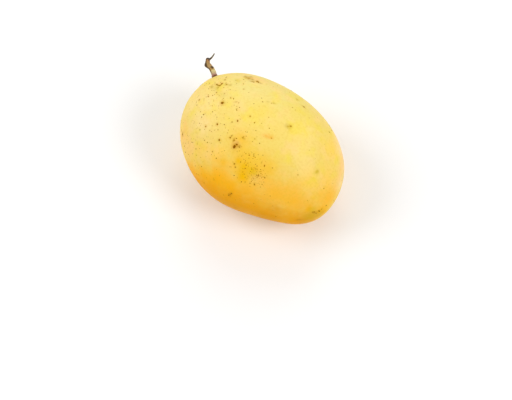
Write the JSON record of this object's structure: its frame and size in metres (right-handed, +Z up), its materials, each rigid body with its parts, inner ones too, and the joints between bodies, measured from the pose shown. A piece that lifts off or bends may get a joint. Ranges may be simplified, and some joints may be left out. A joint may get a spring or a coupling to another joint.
{
  "type": "mango",
  "caption": "Whole ripe yellow mango with its dry stalk, lying on one cheek on a small flat spot.",
  "frame": {"origin": "middle of the small flat spot that the fruit rests on", "axes": "+X from the stem end to the apex, +Y towards the convex back of the fruit, +Z up"},
  "size_m": [0.1074, 0.0752, 0.066],
  "materials": {
    "skin": "satin",
    "stalk": "matte"
  },
  "bodies": {
    "root": {"fruit": "skin", "stalk": "stalk"}
  },
  "joints": []
}
